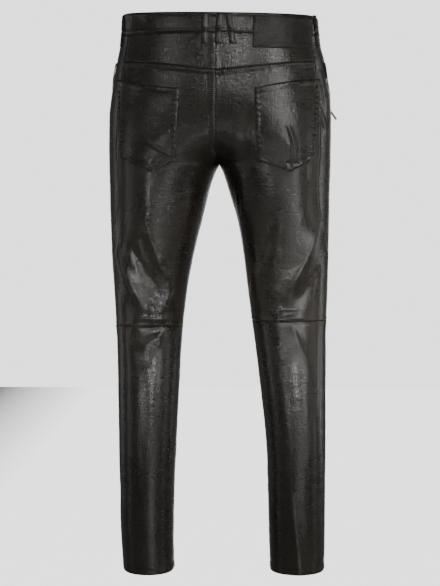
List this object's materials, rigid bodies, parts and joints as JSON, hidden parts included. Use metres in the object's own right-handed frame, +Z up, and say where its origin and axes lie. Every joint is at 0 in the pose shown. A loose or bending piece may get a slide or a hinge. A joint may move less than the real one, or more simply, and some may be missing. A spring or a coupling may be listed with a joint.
{
  "type": "jeans",
  "caption": "Slim tapered jeans in coated denim, filled out and held at the waist, with yoke, patch pockets, belt loops, a bare back patch and zipped hip pockets.",
  "frame": {"origin": "middle of the waist, halfway up the waistband at the back, where the garment is held", "axes": "+Z up; the wearer faces +Y, so the seat faces -Y; +X is the wearer's right"},
  "size_m": [0.4054, 0.2494, 0.9775],
  "materials": {
    "denim": "black denim with a glossy waxed coating, softly creased",
    "patch_leather": "black grained leather, satin",
    "zip_tape": "black woven tape with metal teeth",
    "metal": "dark nickel, polished"
  },
  "bodies": {
    "trousers": {"waistband": "denim", "yoke_left": "denim", "yoke_right": "denim", "back_left": "denim", "back_right": "denim", "calf_back_left": "denim", "calf_back_right": "denim", "front_left": "denim", "front_right": "denim", "back_pocket_left": "denim", "back_pocket_right": "denim", "back_patch": "patch_leather", "belt_loop_back_left": "denim", "belt_loop_back_middle": "denim", "belt_loop_back_right": "denim", "belt_loop_side_left": "denim", "belt_loop_side_right": "denim", "belt_loop_front_left": "denim", "belt_loop_front_right": "denim", "fly_shield": "denim", "waist_button": "metal", "zip_tape_left": "zip_tape", "zip_tape_right": "zip_tape", "zip_slider_left": "metal", "zip_slider_right": "metal"},
    "left_pull_tab": {"pull_tab_left": "metal"},
    "right_pull_tab": {"pull_tab_right": "metal"}
  },
  "joints": [
    {"name": "left_tab_swing", "type": "hinge", "parent": "trousers", "child": "left_pull_tab", "pos_m": [-0.19214, 0.03556, -0.16291], "axis": [0.3503, 0.9366, 0], "range_deg": [-10, 158]},
    {"name": "right_tab_swing", "type": "hinge", "parent": "trousers", "child": "right_pull_tab", "pos_m": [0.19681, 0.02831, -0.14993], "axis": [0.2978, -0.9546, 0], "range_deg": [-30, 138]}
  ]
}
